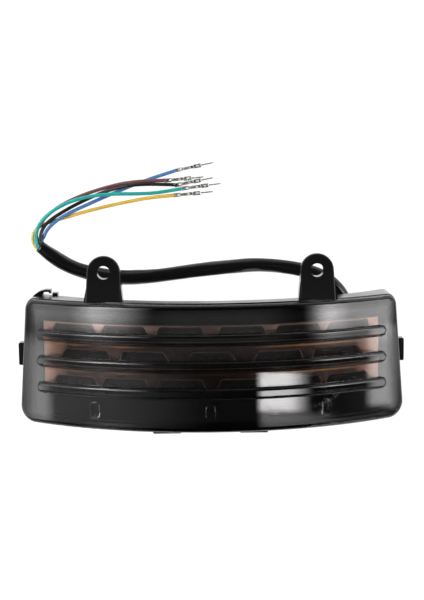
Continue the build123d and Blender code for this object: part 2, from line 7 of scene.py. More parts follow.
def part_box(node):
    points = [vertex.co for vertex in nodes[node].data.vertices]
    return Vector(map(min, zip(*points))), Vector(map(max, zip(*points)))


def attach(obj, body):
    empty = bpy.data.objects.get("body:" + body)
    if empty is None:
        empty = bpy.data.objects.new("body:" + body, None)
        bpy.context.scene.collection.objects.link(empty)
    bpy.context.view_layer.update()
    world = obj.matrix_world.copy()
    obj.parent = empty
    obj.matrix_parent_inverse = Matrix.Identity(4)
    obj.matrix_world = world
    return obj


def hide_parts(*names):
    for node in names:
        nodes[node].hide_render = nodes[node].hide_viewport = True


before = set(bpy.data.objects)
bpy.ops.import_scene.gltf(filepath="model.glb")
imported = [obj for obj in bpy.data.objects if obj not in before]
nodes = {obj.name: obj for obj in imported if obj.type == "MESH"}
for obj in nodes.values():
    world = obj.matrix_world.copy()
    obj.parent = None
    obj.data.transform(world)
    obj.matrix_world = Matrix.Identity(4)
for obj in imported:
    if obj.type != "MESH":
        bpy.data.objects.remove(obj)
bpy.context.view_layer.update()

MM = 0.001
scene = bpy.context.scene
scene.view_settings.view_transform = "Standard"

# ---------------------------------------------------------------- camera
# Nearly straight above, a little towards the ears, and turned a touch in its own plane.
LENS_LOW, LENS_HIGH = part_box("lens")
CROWN_Z = 0.058
AIM_X, AIM_PAST_LENS = 0.00075, 0.00289
TARGET = Vector((AIM_X, LENS_HIGH.y + AIM_PAST_LENS, CROWN_Z))
DISTANCE = 0.7068
TILT = radians(7.639)
ROLL = radians(-0.732)
FOCAL_MM = 80.508
SENSOR_MM = 36


def make_camera():
    back = Vector((0, sin(TILT), cos(TILT)))
    right = Vector((1, 0, 0))
    up = back.cross(right)
    rolled_right = right * cos(ROLL) + up * sin(ROLL)
    rolled_up = up * cos(ROLL) - right * sin(ROLL)
    data = bpy.data.cameras.new("camera")
    data.sensor_width = SENSOR_MM
    data.lens = FOCAL_MM
    data.clip_start = 0.01
    camera = bpy.data.objects.new("camera", data)
    scene.collection.objects.link(camera)
    axes = Matrix((rolled_right, rolled_up, back)).transposed().to_4x4()
    camera.matrix_world = Matrix.Translation(TARGET + back * DISTANCE) @ axes
    scene.camera = camera


make_camera()

# ---------------------------------------------------------------- materials


# The span that most of a noise's values fall in.
NOISE_LOW, NOISE_HIGH = 0.3, 0.7


class Nodes:
    """A material's node tree, with short ways to add and link nodes."""

    def __init__(self, name):
        self.material = bpy.data.materials.new(name)
        self.material.use_nodes = True
        self.tree = self.material.node_tree
        self.tree.nodes.clear()
        self.output = self.add("ShaderNodeOutputMaterial")

    def add(self, kind, **values):
        node = self.tree.nodes.new(kind)
        for key, value in values.items():
            setattr(node, key, value)
        return node

    def link(self, source, target):
        self.tree.links.new(source, target)

    def shader(self, color, **sockets):
        """A principled surface; a socket's name has underscores for spaces."""
        node = self.add("ShaderNodeBsdfPrincipled")
        node.inputs["Base Color"].default_value = (*color, 1)
        for key, value in sockets.items():
            node.inputs[key.replace("_", " ")].default_value = value
        self.link(node.outputs[0], self.output.inputs["Surface"])
        return node

    def place(self, stretch):
        """The place on the object, in metres, stretched along each axis."""
        coordinates = self.add("ShaderNodeTexCoord")
        mapping = self.add("ShaderNodeMapping")
        mapping.inputs["Scale"].default_value = stretch
        self.link(coordinates.outputs["Object"], mapping.inputs["Vector"])
        return mapping.outputs[0]

    def noise(self, scale, detail, stretch=(1, 1, 1)):
        node = self.add("ShaderNodeTexNoise")
        node.inputs["Scale"].default_value = scale
        node.inputs["Detail"].default_value = detail
        self.link(self.place(stretch), node.inputs["Vector"])
        return node.outputs["Fac"]

    def to_range(self, value, low, high, from_low, from_high):
        node = self.add("ShaderNodeMapRange")
        node.inputs["From Min"].default_value = from_low
        node.inputs["From Max"].default_value = from_high
        node.inputs["To Min"].default_value = low
        node.inputs["To Max"].default_value = high
        self.link(value, node.inputs["Value"])
        return node.outputs["Result"]

    def vary(self, noise, low, high):
        """Spreads the usual span of a noise over low to high."""
        return self.to_range(noise, low, high, NOISE_LOW, NOISE_HIGH)

    def math(self, operation, one, two=None):
        node = self.add("ShaderNodeMath", operation=operation)
        for socket, value in zip(node.inputs, (one, two)):
            if value is None:
                continue
            if isinstance(value, (int, float)):
                socket.default_value = value
            else:
                self.link(value, socket)
        return node.outputs[0]

    def bump(self, shader, height, distance, strength):
        node = self.add("ShaderNodeBump")
        node.inputs["Distance"].default_value = distance
        node.inputs["Strength"].default_value = strength
        self.link(height, node.inputs["Height"])
        self.link(node.outputs[0], shader.inputs["Normal"])
        return node

    def mix(self, factor, one, two):
        """A colour between two; each may be a colour or a socket."""
        node = self.add("ShaderNodeMix", data_type="RGBA")
        factor_socket, one_socket, two_socket = node.inputs[0], node.inputs[6], node.inputs[7]
        self.link(factor, factor_socket)
        for socket, value in ((one_socket, one), (two_socket, two)):
            if isinstance(value, tuple):
                socket.default_value = (*value, 1)
            else:
                self.link(value, socket)
        return node.outputs[2]


# The lens's face and the housing's hollow back are both arcs with their axes along Y.
FACE_R, FACE_AXIS_Z = 0.175, -0.117
SADDLE_R, SADDLE_AXIS_Z = 0.135, -0.092
# The front outline is a low trapezium, wider at its lower edge. Its half width is at mid height.
OUTLINE_Y = (LENS_LOW.y + LENS_HIGH.y) / 2
OUTLINE_HALF_HEIGHT = (LENS_HIGH.y - LENS_LOW.y) / 2
OUTLINE_LEAN, OUTLINE_INSET = 0.0767, 0.001927
OUTLINE_HALF_WIDTH = LENS_HIGH.x - OUTLINE_INSET
# Three raised bars run across the lens, one pitch apart, a little above its middle.
BAR_RISE, BAR_PITCH = 0.0013, 0.0145
BAR_MIDDLE_Y = OUTLINE_Y + BAR_RISE
BAR_YS = (BAR_MIDDLE_Y + BAR_PITCH, BAR_MIDDLE_Y, BAR_MIDDLE_Y - BAR_PITCH)
# Below a bar's middle: the place where the bars end, and the painted amber glint line.
BAR_FOOT, UNDER_BAR = 0.0038, 0.0049
BARS_FOOT_Y = BAR_YS[2] - BAR_FOOT


def split_place(n):
    """The place on the object, in metres, as its X, Y and Z."""
    coordinates = n.add("ShaderNodeTexCoord")
    split = n.add("ShaderNodeSeparateXYZ")
    n.link(coordinates.outputs["Object"], split.inputs[0])
    return split.outputs


def arc_distance(n, place, axis_z):
    """How far a place is from an axis along Y, in metres."""
    height = n.math("SUBTRACT", place["Z"], axis_z)
    squares = n.math("ADD", n.math("POWER", place["X"], 2.0), n.math("POWER", height, 2.0))
    return n.math("SQRT", squares)


def from_outline(n, place):
    """How far a place lies inside the lamp's front outline, in metres, negative outside it."""
    lean = n.math("MULTIPLY", n.math("SUBTRACT", place["Y"], OUTLINE_Y), OUTLINE_LEAN)
    half = n.math("SUBTRACT", OUTLINE_HALF_WIDTH, lean)
    across = n.math("SUBTRACT", half, n.math("ABSOLUTE", place["X"]))
    away = n.math("ABSOLUTE", n.math("SUBTRACT", place["Y"], OUTLINE_Y))
    return n.math("MINIMUM", across, n.math("SUBTRACT", OUTLINE_HALF_HEIGHT, away))


SMOKE, DEEP_SMOKE, SMOKY_SHADOW = (0.44, 0.415, 0.41), (0.07, 0.068, 0.068), (0.5, 0.47, 0.46)
ACRYLIC_IOR = 1.49
HAZE_LEAST, HAZE_MOST = 0.012, 0.05
# The dark tint sets in over these heights on a bar and these distances from the outline.
BAR_FROM, BAR_FULL = 0.0001, 0.0004
RIM_FULL, RIM_TO = 0.0035, 0.0065


def smoked_lens():
    """Smoke-tinted acrylic, darker through the thick bars and round the deep rim."""
    n = Nodes("smoked_lens")
    glass = n.shader(SMOKE, Roughness=0.02, IOR=ACRYLIC_IOR, Transmission_Weight=1.0)
    place = split_place(n)
    distance = arc_distance(n, place, FACE_AXIS_Z)
    proud = n.to_range(distance, 0, 1, FACE_R + BAR_FROM, FACE_R + BAR_FULL)
    bars = n.math("MULTIPLY", proud, n.math("GREATER_THAN", place["Y"], BARS_FOOT_Y))
    rim = n.to_range(from_outline(n, place), 1, 0, RIM_FULL, RIM_TO)
    thick = n.math("MAXIMUM", bars, rim)
    n.link(n.mix(thick, SMOKE, DEEP_SMOKE), glass.inputs["Base Color"])
    haze = n.noise(220, 3)
    n.link(n.to_range(haze, HAZE_LEAST, HAZE_MOST, 0.35, 0.75), glass.inputs["Roughness"])
    clear = n.add("ShaderNodeBsdfTransparent")
    clear.inputs["Color"].default_value = (*SMOKY_SHADOW, 1)
    path = n.add("ShaderNodeLightPath")
    choose = n.add("ShaderNodeMixShader")
    n.link(path.outputs["Is Shadow Ray"], choose.inputs[0])
    n.link(glass.outputs[0], choose.inputs[1])
    n.link(clear.outputs[0], choose.inputs[2])
    n.link(choose.outputs[0], n.output.inputs["Surface"])
    return n.material


GLOSS, GLOSS_IOR = (0.004, 0.004, 0.0045), 1.5
HOUSING_SKIN = 0.001
INSIDE_ROUGHER = 0.75


def housing_black():
    """Gloss moulded outside, rough and unpolished inside."""
    n = Nodes("housing_black")
    shader = n.shader(GLOSS, Roughness=0.16, IOR=GLOSS_IOR)
    place = split_place(n)
    saddle_distance = arc_distance(n, place, SADDLE_AXIS_Z)
    above = n.math("GREATER_THAN", saddle_distance, SADDLE_R + HOUSING_SKIN)
    within = n.math("GREATER_THAN", from_outline(n, place), HOUSING_SKIN)
    inside = n.math("MULTIPLY", above, within)
    rougher = n.math("MULTIPLY", inside, INSIDE_ROUGHER)
    outside = n.vary(n.noise(45, 2), 0.12, 0.24)
    n.link(n.math("ADD", outside, rougher), shader.inputs["Roughness"])
    n.bump(shader, n.noise(900, 3), 0.000008, 0.5)
    return n.material


def gloss_black(name, roughness=0.16, grain=900, depth=0.00001):
    """Glossy black plastic whose sheen and relief vary a little."""
    n = Nodes(name)
    shader = n.shader(GLOSS, Roughness=roughness, IOR=GLOSS_IOR)
    broad = n.vary(n.noise(45, 2), roughness * 0.75, roughness * 1.5)
    n.link(broad, shader.inputs["Roughness"])
    n.bump(shader, n.noise(grain, 3), depth, 0.5)
    return n.material


def plain(name, color, roughness, metallic=0.0, spread=0.12, grain=700, depth=0.00003):
    """A surface whose colour, roughness and relief all vary a little."""
    n = Nodes(name)
    shader = n.shader(color, Roughness=roughness, Metallic=metallic)
    tone = n.vary(n.noise(60, 3), 0, 1)
    dark = tuple(c * (1 - spread) for c in color)
    light = tuple(min(1, c * (1 + spread)) for c in color)
    n.link(n.mix(tone, dark, light), shader.inputs["Base Color"])
    fine = n.noise(grain, 3)
    n.link(n.vary(fine, roughness * 0.8, min(1, roughness * 1.25)), shader.inputs["Roughness"])
    n.bump(shader, fine, depth, 0.6)
    return n.material


SALMON, SALMON_DARK, SALMON_LIGHT = (0.8, 0.46, 0.38), (0.72, 0.44, 0.33), (0.84, 0.56, 0.45)
# Painted shade darkens the bezel's middle; from these distances in x out to the ends it gives way
# to the salmon.
SALMON_FROM_X, SALMON_FULL_X = 0.078, 0.087
# An edge is where the rounded and the flat normals part, and it is duller than the metal; the
# painted shade leaves off there, so edges read as lit lines.
EDGE_R = 0.0008
EDGE_FULL, EDGE_FROM = 0.9, 0.998
EDGE_METALLIC = 0.25
# Painted amber glint lines below the upper bars: their colour, core and edge half widths, and the
# noise span that breaks them.
AMBER_PAINTED_GLINT = (0.6, 0.31, 0.12)
LINE_CORE, LINE_EDGE = 0.0002, 0.0006
LINE_GAPS = (0.42, 0.6)


def edge_share(n, round_normal):
    """1 on an edge, where the rounded normal leaves the flat one, and 0 elsewhere."""
    flat = n.add("ShaderNodeNewGeometry")
    dot = n.add("ShaderNodeVectorMath", operation="DOT_PRODUCT")
    n.link(round_normal, dot.inputs[0])
    n.link(flat.outputs["Normal"], dot.inputs[1])
    return n.to_range(dot.outputs["Value"], 1, 0, EDGE_FULL, EDGE_FROM)


def painted_glint_share(n, y):
    """Broken lines of light, painted in amber as a glint just below the two upper bars."""
    bands = []
    for bar_y in BAR_YS[:2]:
        gap = n.math("ABSOLUTE", n.math("SUBTRACT", y, bar_y - UNDER_BAR))
        bands.append(n.to_range(gap, 1, 0, LINE_CORE, LINE_EDGE))
    patchy = n.to_range(n.noise(26, 1, (1, 0.1, 0.1)), 0, 1, *LINE_GAPS)
    return n.math("MULTIPLY", n.math("MAXIMUM", *bands), patchy)


def salmon_metal(name, dim, bright):
    """Metallised salmon plastic with painted shade over its middle, between dim and bright; its own
    pink-red shows at both ends and along every edge, where the painted shade leaves off.
    """
    n = Nodes(name)
    shader = n.shader(SALMON, Roughness=0.3, Metallic=1.0)
    place = split_place(n)
    unshaded_ends = n.to_range(n.math("ABSOLUTE", place["X"]), 0, 1, SALMON_FROM_X, SALMON_FULL_X)
    rounding = n.add("ShaderNodeBevel", samples=6)
    rounding.inputs["Radius"].default_value = EDGE_R
    edge = edge_share(n, rounding.outputs[0])
    tone = n.vary(n.noise(90, 3), 0, 1)
    tint = n.mix(tone, SALMON_DARK, SALMON_LIGHT)
    # The painted shade, dim to bright, with the same random tone as the salmon.
    painted_shade = n.mix(tone, dim, bright)
    body = n.mix(n.math("MAXIMUM", edge, unshaded_ends), painted_shade, tint)
    # The painted amber glint lines go over the bezel's colour.
    n.link(n.mix(painted_glint_share(n, place["Y"]), body, AMBER_PAINTED_GLINT), shader.inputs["Base Color"])
    n.link(n.to_range(edge, 1.0, EDGE_METALLIC, 0, 1), shader.inputs["Metallic"])
    fine = n.noise(1500, 3)
    n.link(n.vary(fine, 0.26, 0.36), shader.inputs["Roughness"])
    relief = n.bump(shader, fine, 0.00001, 0.5)
    n.link(rounding.outputs[0], relief.inputs["Normal"])
    return n.material


def assign(node_names, material):
    """Puts one material on every slot of the CAD nodes."""
    for name in node_names:
        piece = nodes[name]
        if not piece.material_slots:
            piece.data.materials.append(material)
        for slot in piece.material_slots:
            slot.material = material


COLORS = ("yellow", "green", "maroon", "black", "blue")
ROWS = ("upper", "middle", "lower")
assign(["lens"], smoked_lens())
assign(["rear_housing"], housing_black())
assign(["lens_seal"], plain("seal_rubber", (0.015, 0.015, 0.015), 0.6))
# Painted shade over the bezel: lighter on the upper row, where the highlight falls, and dark on the
# middle and lower rows.
painted_dark_bezel = salmon_metal("bezel_painted_deep_shade", (0.08, 0.055, 0.05), (0.14, 0.1, 0.085))
assign(["bezel_upper"], salmon_metal("bezel_salmon", (0.5, 0.36, 0.31), (0.75, 0.55, 0.48)))
assign(["bezel_middle", "bezel_lower"], painted_dark_bezel)
dark_cups = plain("reflector_dark", (0.022, 0.02, 0.02), 0.38, 0.0, 0.1, 300, 0.00001)
assign([f"reflector_{r}" for r in ROWS], dark_cups)
assign([f"led_board_{r}" for r in ROWS], plain("board_black", (0.02, 0.022, 0.022), 0.4))
# Painted shade on the LEDs: nearly black over their red and amber, as they sit deep in the dark
# cells.
assign(["leds_tail_and_brake"], plain("led_red", (0.028, 0.008, 0.007), 0.3))
assign(["leds_turn_left", "leds_turn_right"], plain("led_amber", (0.03, 0.016, 0.008), 0.3))
assign(["board_screws"], plain("screw_steel", (0.6, 0.6, 0.6), 0.3, 1.0))
assign(["board_jumpers", "lead_tails"], plain("jumper_grey", (0.25, 0.25, 0.26), 0.45))
assign(["driver_board"], plain("board_green", (0.03, 0.2, 0.09), 0.35))
assign(["regulators", "diodes", "resistors"], plain("chip_black", (0.02, 0.02, 0.02), 0.5))
assign(["capacitors"], plain("capacitor_tan", (0.55, 0.36, 0.15), 0.4))
assign(["cable_grommet"], plain("grommet_rubber", (0.02, 0.02, 0.02), 0.45))
assign(["inner_lead_bundle"], gloss_black("bundle_vinyl"))
terminal_tin = plain("terminal_tin", (0.72, 0.71, 0.69), 0.28, 1.0, 0.06, 900)
assign([f"terminal_{c}" for c in COLORS], terminal_tin)

# ---------------------------------------------------------------- cords
SLEEVE_R = 4.0 * MM
WIRE_R = 1.0 * MM
# Routes are in mm, from the lamp outwards; leads start where they leave the sleeve's mouth.
SLEEVE_ROUTE = [
    (32, -35, 27.8),
    (32.3, -35, 19.6),
    (37.4, -35, 11),
    (47, -34.8, 5.4),
    (58.2, -32, 4),
    (68, -25, 4),
    (75, -15.6, 4),
    (78.2, -4.6, 4),
    (78.7, 6, 4),
    (76.2, 17, 4),
    (70.6, 26.15, 4),
    (61.6, 32.75, 4),
    (50, 35.9, 4),
    (37, 38, 4),
    (24, 38.9, 4),
    (10, 37.55, 4),
    (-6, 36.05, 4),
    (-22, 33.85, 4),
    (-37, 32.35, 4),
    (-52, 32.15, 4),
    (-67, 34.55, 4),
    (-79.5, 38.95, 4),
    (-88.6, 44.35, 4),
    (-96, 50.35, 4),
]
WIRE_ROUTES = {
    "yellow": [
        (-97.6, 48.9, 3.7),
        (-99.9, 52.6, 2.9),
        (-100.2, 57, 1.4),
        (-97.4, 61, 1),
        (-91.6, 63.6, 1),
        (-83, 65.9, 1),
        (-70.5, 69.5, 1),
        (-56.5, 72.8, 1),
        (-42, 75.6, 1),
        (-30.6, 77.4, 1),
        (-18.6, 78.2, 1),
    ],
    "green": [
        (-96.9, 50.2, 6.3),
        (-98, 53.7, 5.8),
        (-98, 57.8, 5.3),
        (-96.4, 62, 5.1),
        (-93.2, 66.4, 5.1),
        (-87.6, 71, 5.1),
        (-78, 75.8, 5),
        (-66, 78.7, 4.6),
        (-54, 79.5, 4.1),
        (-43, 79.3, 2.6),
        (-32, 79.4, 1.2),
        (-22.4, 80.7, 1),
        (-14, 82, 1),
    ],
    "maroon": [
        (-97, 50, 1.7),
        (-97.5, 53.2, 1.9),
        (-98.1, 57.4, 3),
        (-96.6, 61.6, 3.1),
        (-93.4, 65.9, 3.05),
        (-88.8, 70, 2.1),
        (-83.2, 73.7, 1),
        (-76.2, 77, 1),
        (-67.8, 80.2, 1),
        (-59, 82.8, 1),
        (-50, 85, 1.7),
        (-41.2, 86.2, 3.15),
        (-32.4, 86.5, 3.1),
        (-23.6, 86.6, 1.3),
    ],
    "black": [
        (-95.6, 52.2, 5.5),
        (-95.5, 55.2, 4.5),
        (-95, 58.6, 3.35),
        (-93, 62.2, 3.1),
        (-89.4, 65.5, 3),
        (-84.2, 68.8, 1.8),
        (-76.8, 72.9, 1),
        (-68.8, 76.7, 1),
        (-60.4, 80.2, 1),
        (-51.8, 82.8, 2.8),
        (-43, 84.4, 4.4),
        (-34.2, 84.7, 4.3),
        (-26, 84.35, 1.9),
        (-18, 84, 1),
    ],
    "blue": [
        (-95.6, 52.65, 2.7),
        (-93.8, 55.6, 2.8),
        (-92.2, 59, 3.05),
        (-89.4, 62.2, 3.05),
        (-85.7, 65.2, 3.05),
        (-81, 68, 2.8),
        (-75.4, 70.7, 1.6),
        (-69, 73.4, 1),
        (-62.1, 76.4, 1),
        (-55, 79.3, 1),
        (-47.8, 82.2, 1),
        (-40.4, 85, 1),
        (-32.8, 87.7, 1),
        (-25, 90.1, 1),
        (-17.8, 92.3, 1),
    ],
}


def route_spline(data, points):
    """Adds a route to a curve's data as a NURBS spline; the points are in metres."""
    data.dimensions = "3D"
    spline = data.splines.new("NURBS")
    spline.points.add(len(points) - 1)
    for point, place in zip(spline.points, points):
        point.co = (*place, 1)
    spline.order_u = 3
    spline.use_endpoint_u = True
    spline.resolution_u = 12


def route_line(points):
    """Places along the route's spline, read from a curve without thickness."""
    data = bpy.data.curves.new("guide", "CURVE")
    route_spline(data, points)
    guide = bpy.data.objects.new("guide", data)
    mesh = bpy.data.meshes.new_from_object(guide)
    line = [vertex.co.copy() for vertex in mesh.vertices]
    bpy.data.objects.remove(guide)
    bpy.data.curves.remove(data)
    bpy.data.meshes.remove(mesh)
    return line


def route_curve(name, points, radius, material):
    """A smooth round cord."""
    data = bpy.data.curves.new(name, "CURVE")
    route_spline(data, points)
    data.bevel_depth = radius
    data.bevel_resolution = 8
    data.use_fill_caps = True
    data.materials.append(material)
    piece = bpy.data.objects.new(name, data)
    scene.collection.objects.link(piece)
    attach(piece, "root")
    return piece


def in_metres(points):
    """A route given in mm, as vectors in metres."""
    return [Vector(place) * MM for place in points]


class Shells:
    """Closed shells of rings, gathered into one mesh."""

    def __init__(self):
        self.vertices = []
        self.faces = []
        self.smooth = []

    def skin(self, rings, cap=True, round_surface=True):
        """Joins rings that have the same number of points, and closes both ends."""
        first, count = len(self.vertices), len(rings[0])
        for ring in rings:
            self.vertices.extend(ring)
        for step in range(len(rings) - 1):
            for here in range(count):
                ahead = (here + 1) % count
                low, high = first + step * count, first + (step + 1) * count
                self.faces.append((low + here, low + ahead, high + ahead, high + here))
                self.smooth.append(round_surface)
        if cap:
            last = first + (len(rings) - 1) * count
            self.faces.append(tuple(range(first + count - 1, first - 1, -1)))
            self.faces.append(tuple(range(last, last + count)))
            self.smooth += [False, False]

    def sheet(self, rings):
        """As skin, for rings that are an outer line and then an inner line back again."""
        first, count = len(self.vertices), len(rings[0])
        self.skin(rings, cap=False)
        last = first + (len(rings) - 1) * count
        for start, flip in ((first, True), (last, False)):
            for here in range(count // 2 - 1):
                facing = start + count - 1 - here
                corners = (start + here, start + here + 1, facing - 1, facing)
                self.faces.append(corners[::-1] if flip else corners)
                self.smooth.append(False)

    def piece(self, name, material):
        mesh = bpy.data.meshes.new(name)
        mesh.from_pydata(self.vertices, [], self.faces)
        for face, smooth in zip(mesh.polygons, self.smooth):
            face.use_smooth = smooth
        mesh.materials.append(material)
        made = bpy.data.objects.new(name, mesh)
        scene.collection.objects.link(made)
        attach(made, "root")
        return made


WIRE_COLORS = {
    "yellow": (0.80, 0.52, 0.078),
    "green": (0.02, 0.40, 0.37),
    "maroon": (0.16, 0.06, 0.058),
    "black": (0.012, 0.012, 0.012),
    "blue": (0.07, 0.21, 0.47),
}
SLEEVE_SIDES = 36
SLEEVE_WALL = 0.5 * MM
# The last stretch is drawn in to a share of the sleeve's radius; the open bore goes deeper.
MOUTH_LENGTH = 10 * MM
MOUTH_SHARE = 0.86
BORE_DEPTH = 1.6 * MOUTH_LENGTH
FLATTENED = 0.93
# Each fold: how close round the sleeve, how close along it and how deep.
FOLDS = ((1.5, 0.035, 0.12), (2.6, 0.17, 0.03))


def sleeve_rings(line):
    """Rings of a limp vinyl sleeve: flattened, creased and drawn in at its open end."""
    run = [0.0]
    for here, ahead in zip(line, line[1:]):
        run.append(run[-1] + (ahead - here).length)
    side = Vector((0, 1, 0))
    outer, inner = [], []
    for place, centre in enumerate(line):
        before, after = line[max(place - 1, 0)], line[min(place + 1, len(line) - 1)]
        tangent = (after - before).normalized()
        side = (side - tangent * side.dot(tangent)).normalized()
        up = tangent.cross(side)
        left = run[-1] - run[place]
        drawn = min(1.0, left / MOUTH_LENGTH)
        share = MOUTH_SHARE + (1 - MOUTH_SHARE) * drawn * drawn * (3 - 2 * drawn)
        ring, bore = [], []
        for step in range(SLEEVE_SIDES):
            angle = 2 * pi * step / SLEEVE_SIDES
            out = side * cos(angle) + up * sin(angle)
            along = Vector((run[place] / MM, 0, 0))
            folds = 0.0
            for close, pace, deep in FOLDS:
                folds += noise.noise(out * close + along * pace) * deep
            reach = out * SLEEVE_R * share * (1 + folds)
            reach.z *= FLATTENED
            ring.append(centre + reach)
            bore.append(centre + reach * (1 - SLEEVE_WALL / SLEEVE_R / share))
        outer.append(ring)
        if left < BORE_DEPTH:
            inner.append(bore)
    return outer + inner[::-1]


vinyl = gloss_black("sleeve_vinyl", 0.12, 240, 0.00006)
sleeve_route = in_metres(SLEEVE_ROUTE)
sleeve_line = route_line(sleeve_route)
sleeve_shell = Shells()
sleeve_shell.skin(sleeve_rings(sleeve_line))
sleeve = sleeve_shell.piece("sleeve", vinyl)
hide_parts("harness_sleeve")

# ---------------------------------------------------------------- crimp pin terminals
# Lengths along a terminal, radii and sheet thicknesses are in mm, and turns in degrees.
AXIS_Z = 1.27
TERMINAL_TURNS = {"yellow": 1, "green": -2, "maroon": 4, "black": 13, "blue": -6}
SHEET, FLOOR_SHEET = 0.2, 0.24
# Each stretch is a row of (place along the terminal, radius).
WRAPS = ((-1.7, 1.3), (-1.4, 1.22), (1.8, 1.22), (2.1, 1.3))
GRIPS = ((3.7, 1.08), (4.1, 0.94), (6.7, 0.92), (7.1, 1.02))
FLOOR = ((1.9, 1.2), (3.8, 0.96), (7.0, 0.94), (8.2, 1.0), (9.6, 0.95))
PIN = ((12.9, 0.7), (13.9, 0.66), (14.5, 0.42), (19.6, 0.42), (20.8, 0.2), (21.0, 0.1))
WRAP_TURN, GRIP_TURN, FLOOR_TURN = (112, 428), (103, 437), (212, 328)
STRANDS, STRAND_OUT, STRAND_R, STRAND_TIP_R = 7, 0.44, 0.21, 0.2
BOX_XS, BOX_WIDTH, BOX_HEIGHT = (9.3, 9.5, 13.4, 13.7), 2.3, 1.9
BOX_ANGLES = (-80, -60, -45, -20, 20, 45, 60, 80, 100, 120, 135, 160, 200, 225, 240, 260)
BOX_CORNERS, CORNER_TRIM = (-45, 45, 135, 225), 0.93
# The lance is a tab bent up from the box: (place along, top, underside) at its two ends.
LANCE_HALF_WIDTH = 0.5
LANCE_ENDS = ((10.6, 0.9, 0.75), (12.5, 1.28, 1.12))


def c_section(x, radius, turn, wall=SHEET, steps=14):
    """A ring round folded sheet metal: its outer arc, then its inner arc back, in mm."""
    low, high = turn
    angles = [radians(low + (high - low) * step / steps) for step in range(steps + 1)]
    outer = [(x, radius * cos(a), radius * sin(a)) for a in angles]
    bore = radius - wall
    return outer + [(x, bore * cos(a), bore * sin(a)) for a in reversed(angles)]


def circle(x, radius, steps=14, y=0.0, z=0.0):
    """A round ring across the terminal, in mm."""
    angles = [2 * pi * step / steps for step in range(steps)]
    return [(x, y + radius * cos(a), z + radius * sin(a)) for a in angles]


def box_section(x):
    """A ring round a folded square box with its seam underneath."""
    outer = []
    for a in BOX_ANGLES:
        y, z = cos(radians(a)), sin(radians(a))
        grow = 1 / max(abs(y), abs(z))
        trim = CORNER_TRIM if a in BOX_CORNERS else 1.0
        outer.append((y * grow * trim * BOX_WIDTH / 2, z * grow * trim * BOX_HEIGHT / 2))
    share_y, share_z = 1 - 2 * SHEET / BOX_WIDTH, 1 - 2 * SHEET / BOX_HEIGHT
    ring = [(x, y, z) for y, z in outer]
    return ring + [(x, y * share_y, z * share_z) for y, z in reversed(outer)]


def strand_rings(step):
    """One strand of the bared conductor; the first is in the middle of the others."""
    out = STRAND_OUT if step else 0.0
    y, z = out * cos(step * pi / 3), out * sin(step * pi / 3)
    ends = ((-0.2, STRAND_R), (3.6, STRAND_R), (7.7 - 0.1 * step, STRAND_TIP_R))
    return [circle(x, radius, 8, y, z) for x, radius in ends]


def lance_rings():
    """A tapered tab, closed at both ends."""
    half = LANCE_HALF_WIDTH
    rings = []
    for x, top, low in LANCE_ENDS:
        rings.append([(x, -half, top), (x, half, top), (x, half, low), (x, -half, low)])
    return rings


def terminal(color):
    """Folded sheet-metal pin: insulation crimp, strands, conductor crimp, box with a lance, pin."""
    end, before = Vector(WIRE_ROUTES[color][-1]), Vector(WIRE_ROUTES[color][-2])
    heading = (end - before).to_2d()
    ahead = Vector((*heading.normalized(), 0))
    ahead.rotate(Matrix.Rotation(radians(TERMINAL_TURNS[color]), 3, "Z"))
    aside = Vector((-ahead.y, ahead.x, 0))
    origin = Vector((end.x, end.y, AXIS_Z))

    def place(point):
        x, y, z = point
        return (origin + ahead * x + aside * y + Vector((0, 0, z))) * MM

    def placed(rings):
        return [[place(point) for point in ring] for ring in rings]

    shells = Shells()
    shells.sheet(placed([c_section(x, radius, WRAP_TURN) for x, radius in WRAPS]))
    shells.sheet(placed([c_section(x, radius, GRIP_TURN) for x, radius in GRIPS]))
    shells.sheet(placed([c_section(x, radius, FLOOR_TURN, FLOOR_SHEET) for x, radius in FLOOR]))
    for step in range(STRANDS):
        shells.skin(placed(strand_rings(step)))
    shells.sheet(placed([box_section(x) for x in BOX_XS]))
    shells.skin(placed(lance_rings()), round_surface=False)
    shells.skin(placed([circle(x, radius) for x, radius in PIN]))
    piece = shells.piece(f"crimp_pin_{color}", terminal_tin)
    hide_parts(f"terminal_{color}")
    return piece


# ---------------------------------------------------------------- the five leads
# The leads start inside the sleeve's mouth, closer together than they leave it.
INSIDE = 4 * MM
GATHERED = 0.7
sleeve_end = sleeve_route[-1]
sleeve_heading = (sleeve_end - sleeve_route[-2]).normalized()
for color in COLORS:
    route = in_metres(WIRE_ROUTES[color])
    offset = route[0] - sleeve_end
    offset -= sleeve_heading * offset.dot(sleeve_heading)
    inside = sleeve_end - sleeve_heading * INSIDE + offset * GATHERED
    insulation = plain(f"lead_{color}", WIRE_COLORS[color], 0.32, 0, 0.08, 500)
    wire = route_curve(f"lead_{color}", [inside, *route], WIRE_R, insulation)
    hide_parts(f"wire_{color}")
    terminal(color)

# ---------------------------------------------------------------- floor and light


FLOOR_GREY, FLOOR_GLOW, FLOOR_HALF = 0.12, 0.96, 6.0


def make_floor():
    """A white table that glows a little, so that it stays white all over."""
    n = Nodes("floor")
    shader = n.shader((FLOOR_GREY, FLOOR_GREY, FLOOR_GREY), Roughness=0.75)
    shader.inputs["Emission Color"].default_value = (1, 1, 1, 1)
    shader.inputs["Emission Strength"].default_value = FLOOR_GLOW
    mesh = bpy.data.meshes.new("floor")
    corners = [(FLOOR_HALF * x, FLOOR_HALF * y, 0) for x, y in ((-1, -1), (1, -1), (1, 1), (-1, 1))]
    mesh.from_pydata(corners, [], [(0, 1, 2, 3)])
    mesh.materials.append(n.material)
    floor = bpy.data.objects.new("floor", mesh)
    scene.collection.objects.link(floor)


# Panels lie on cylinders round one axis, each a gap outside the one before.
SKY_R, SKY_GAP, SKY_AXIS_Z = 3.0, 0.03, 0.05
SKY_STEPS = 16


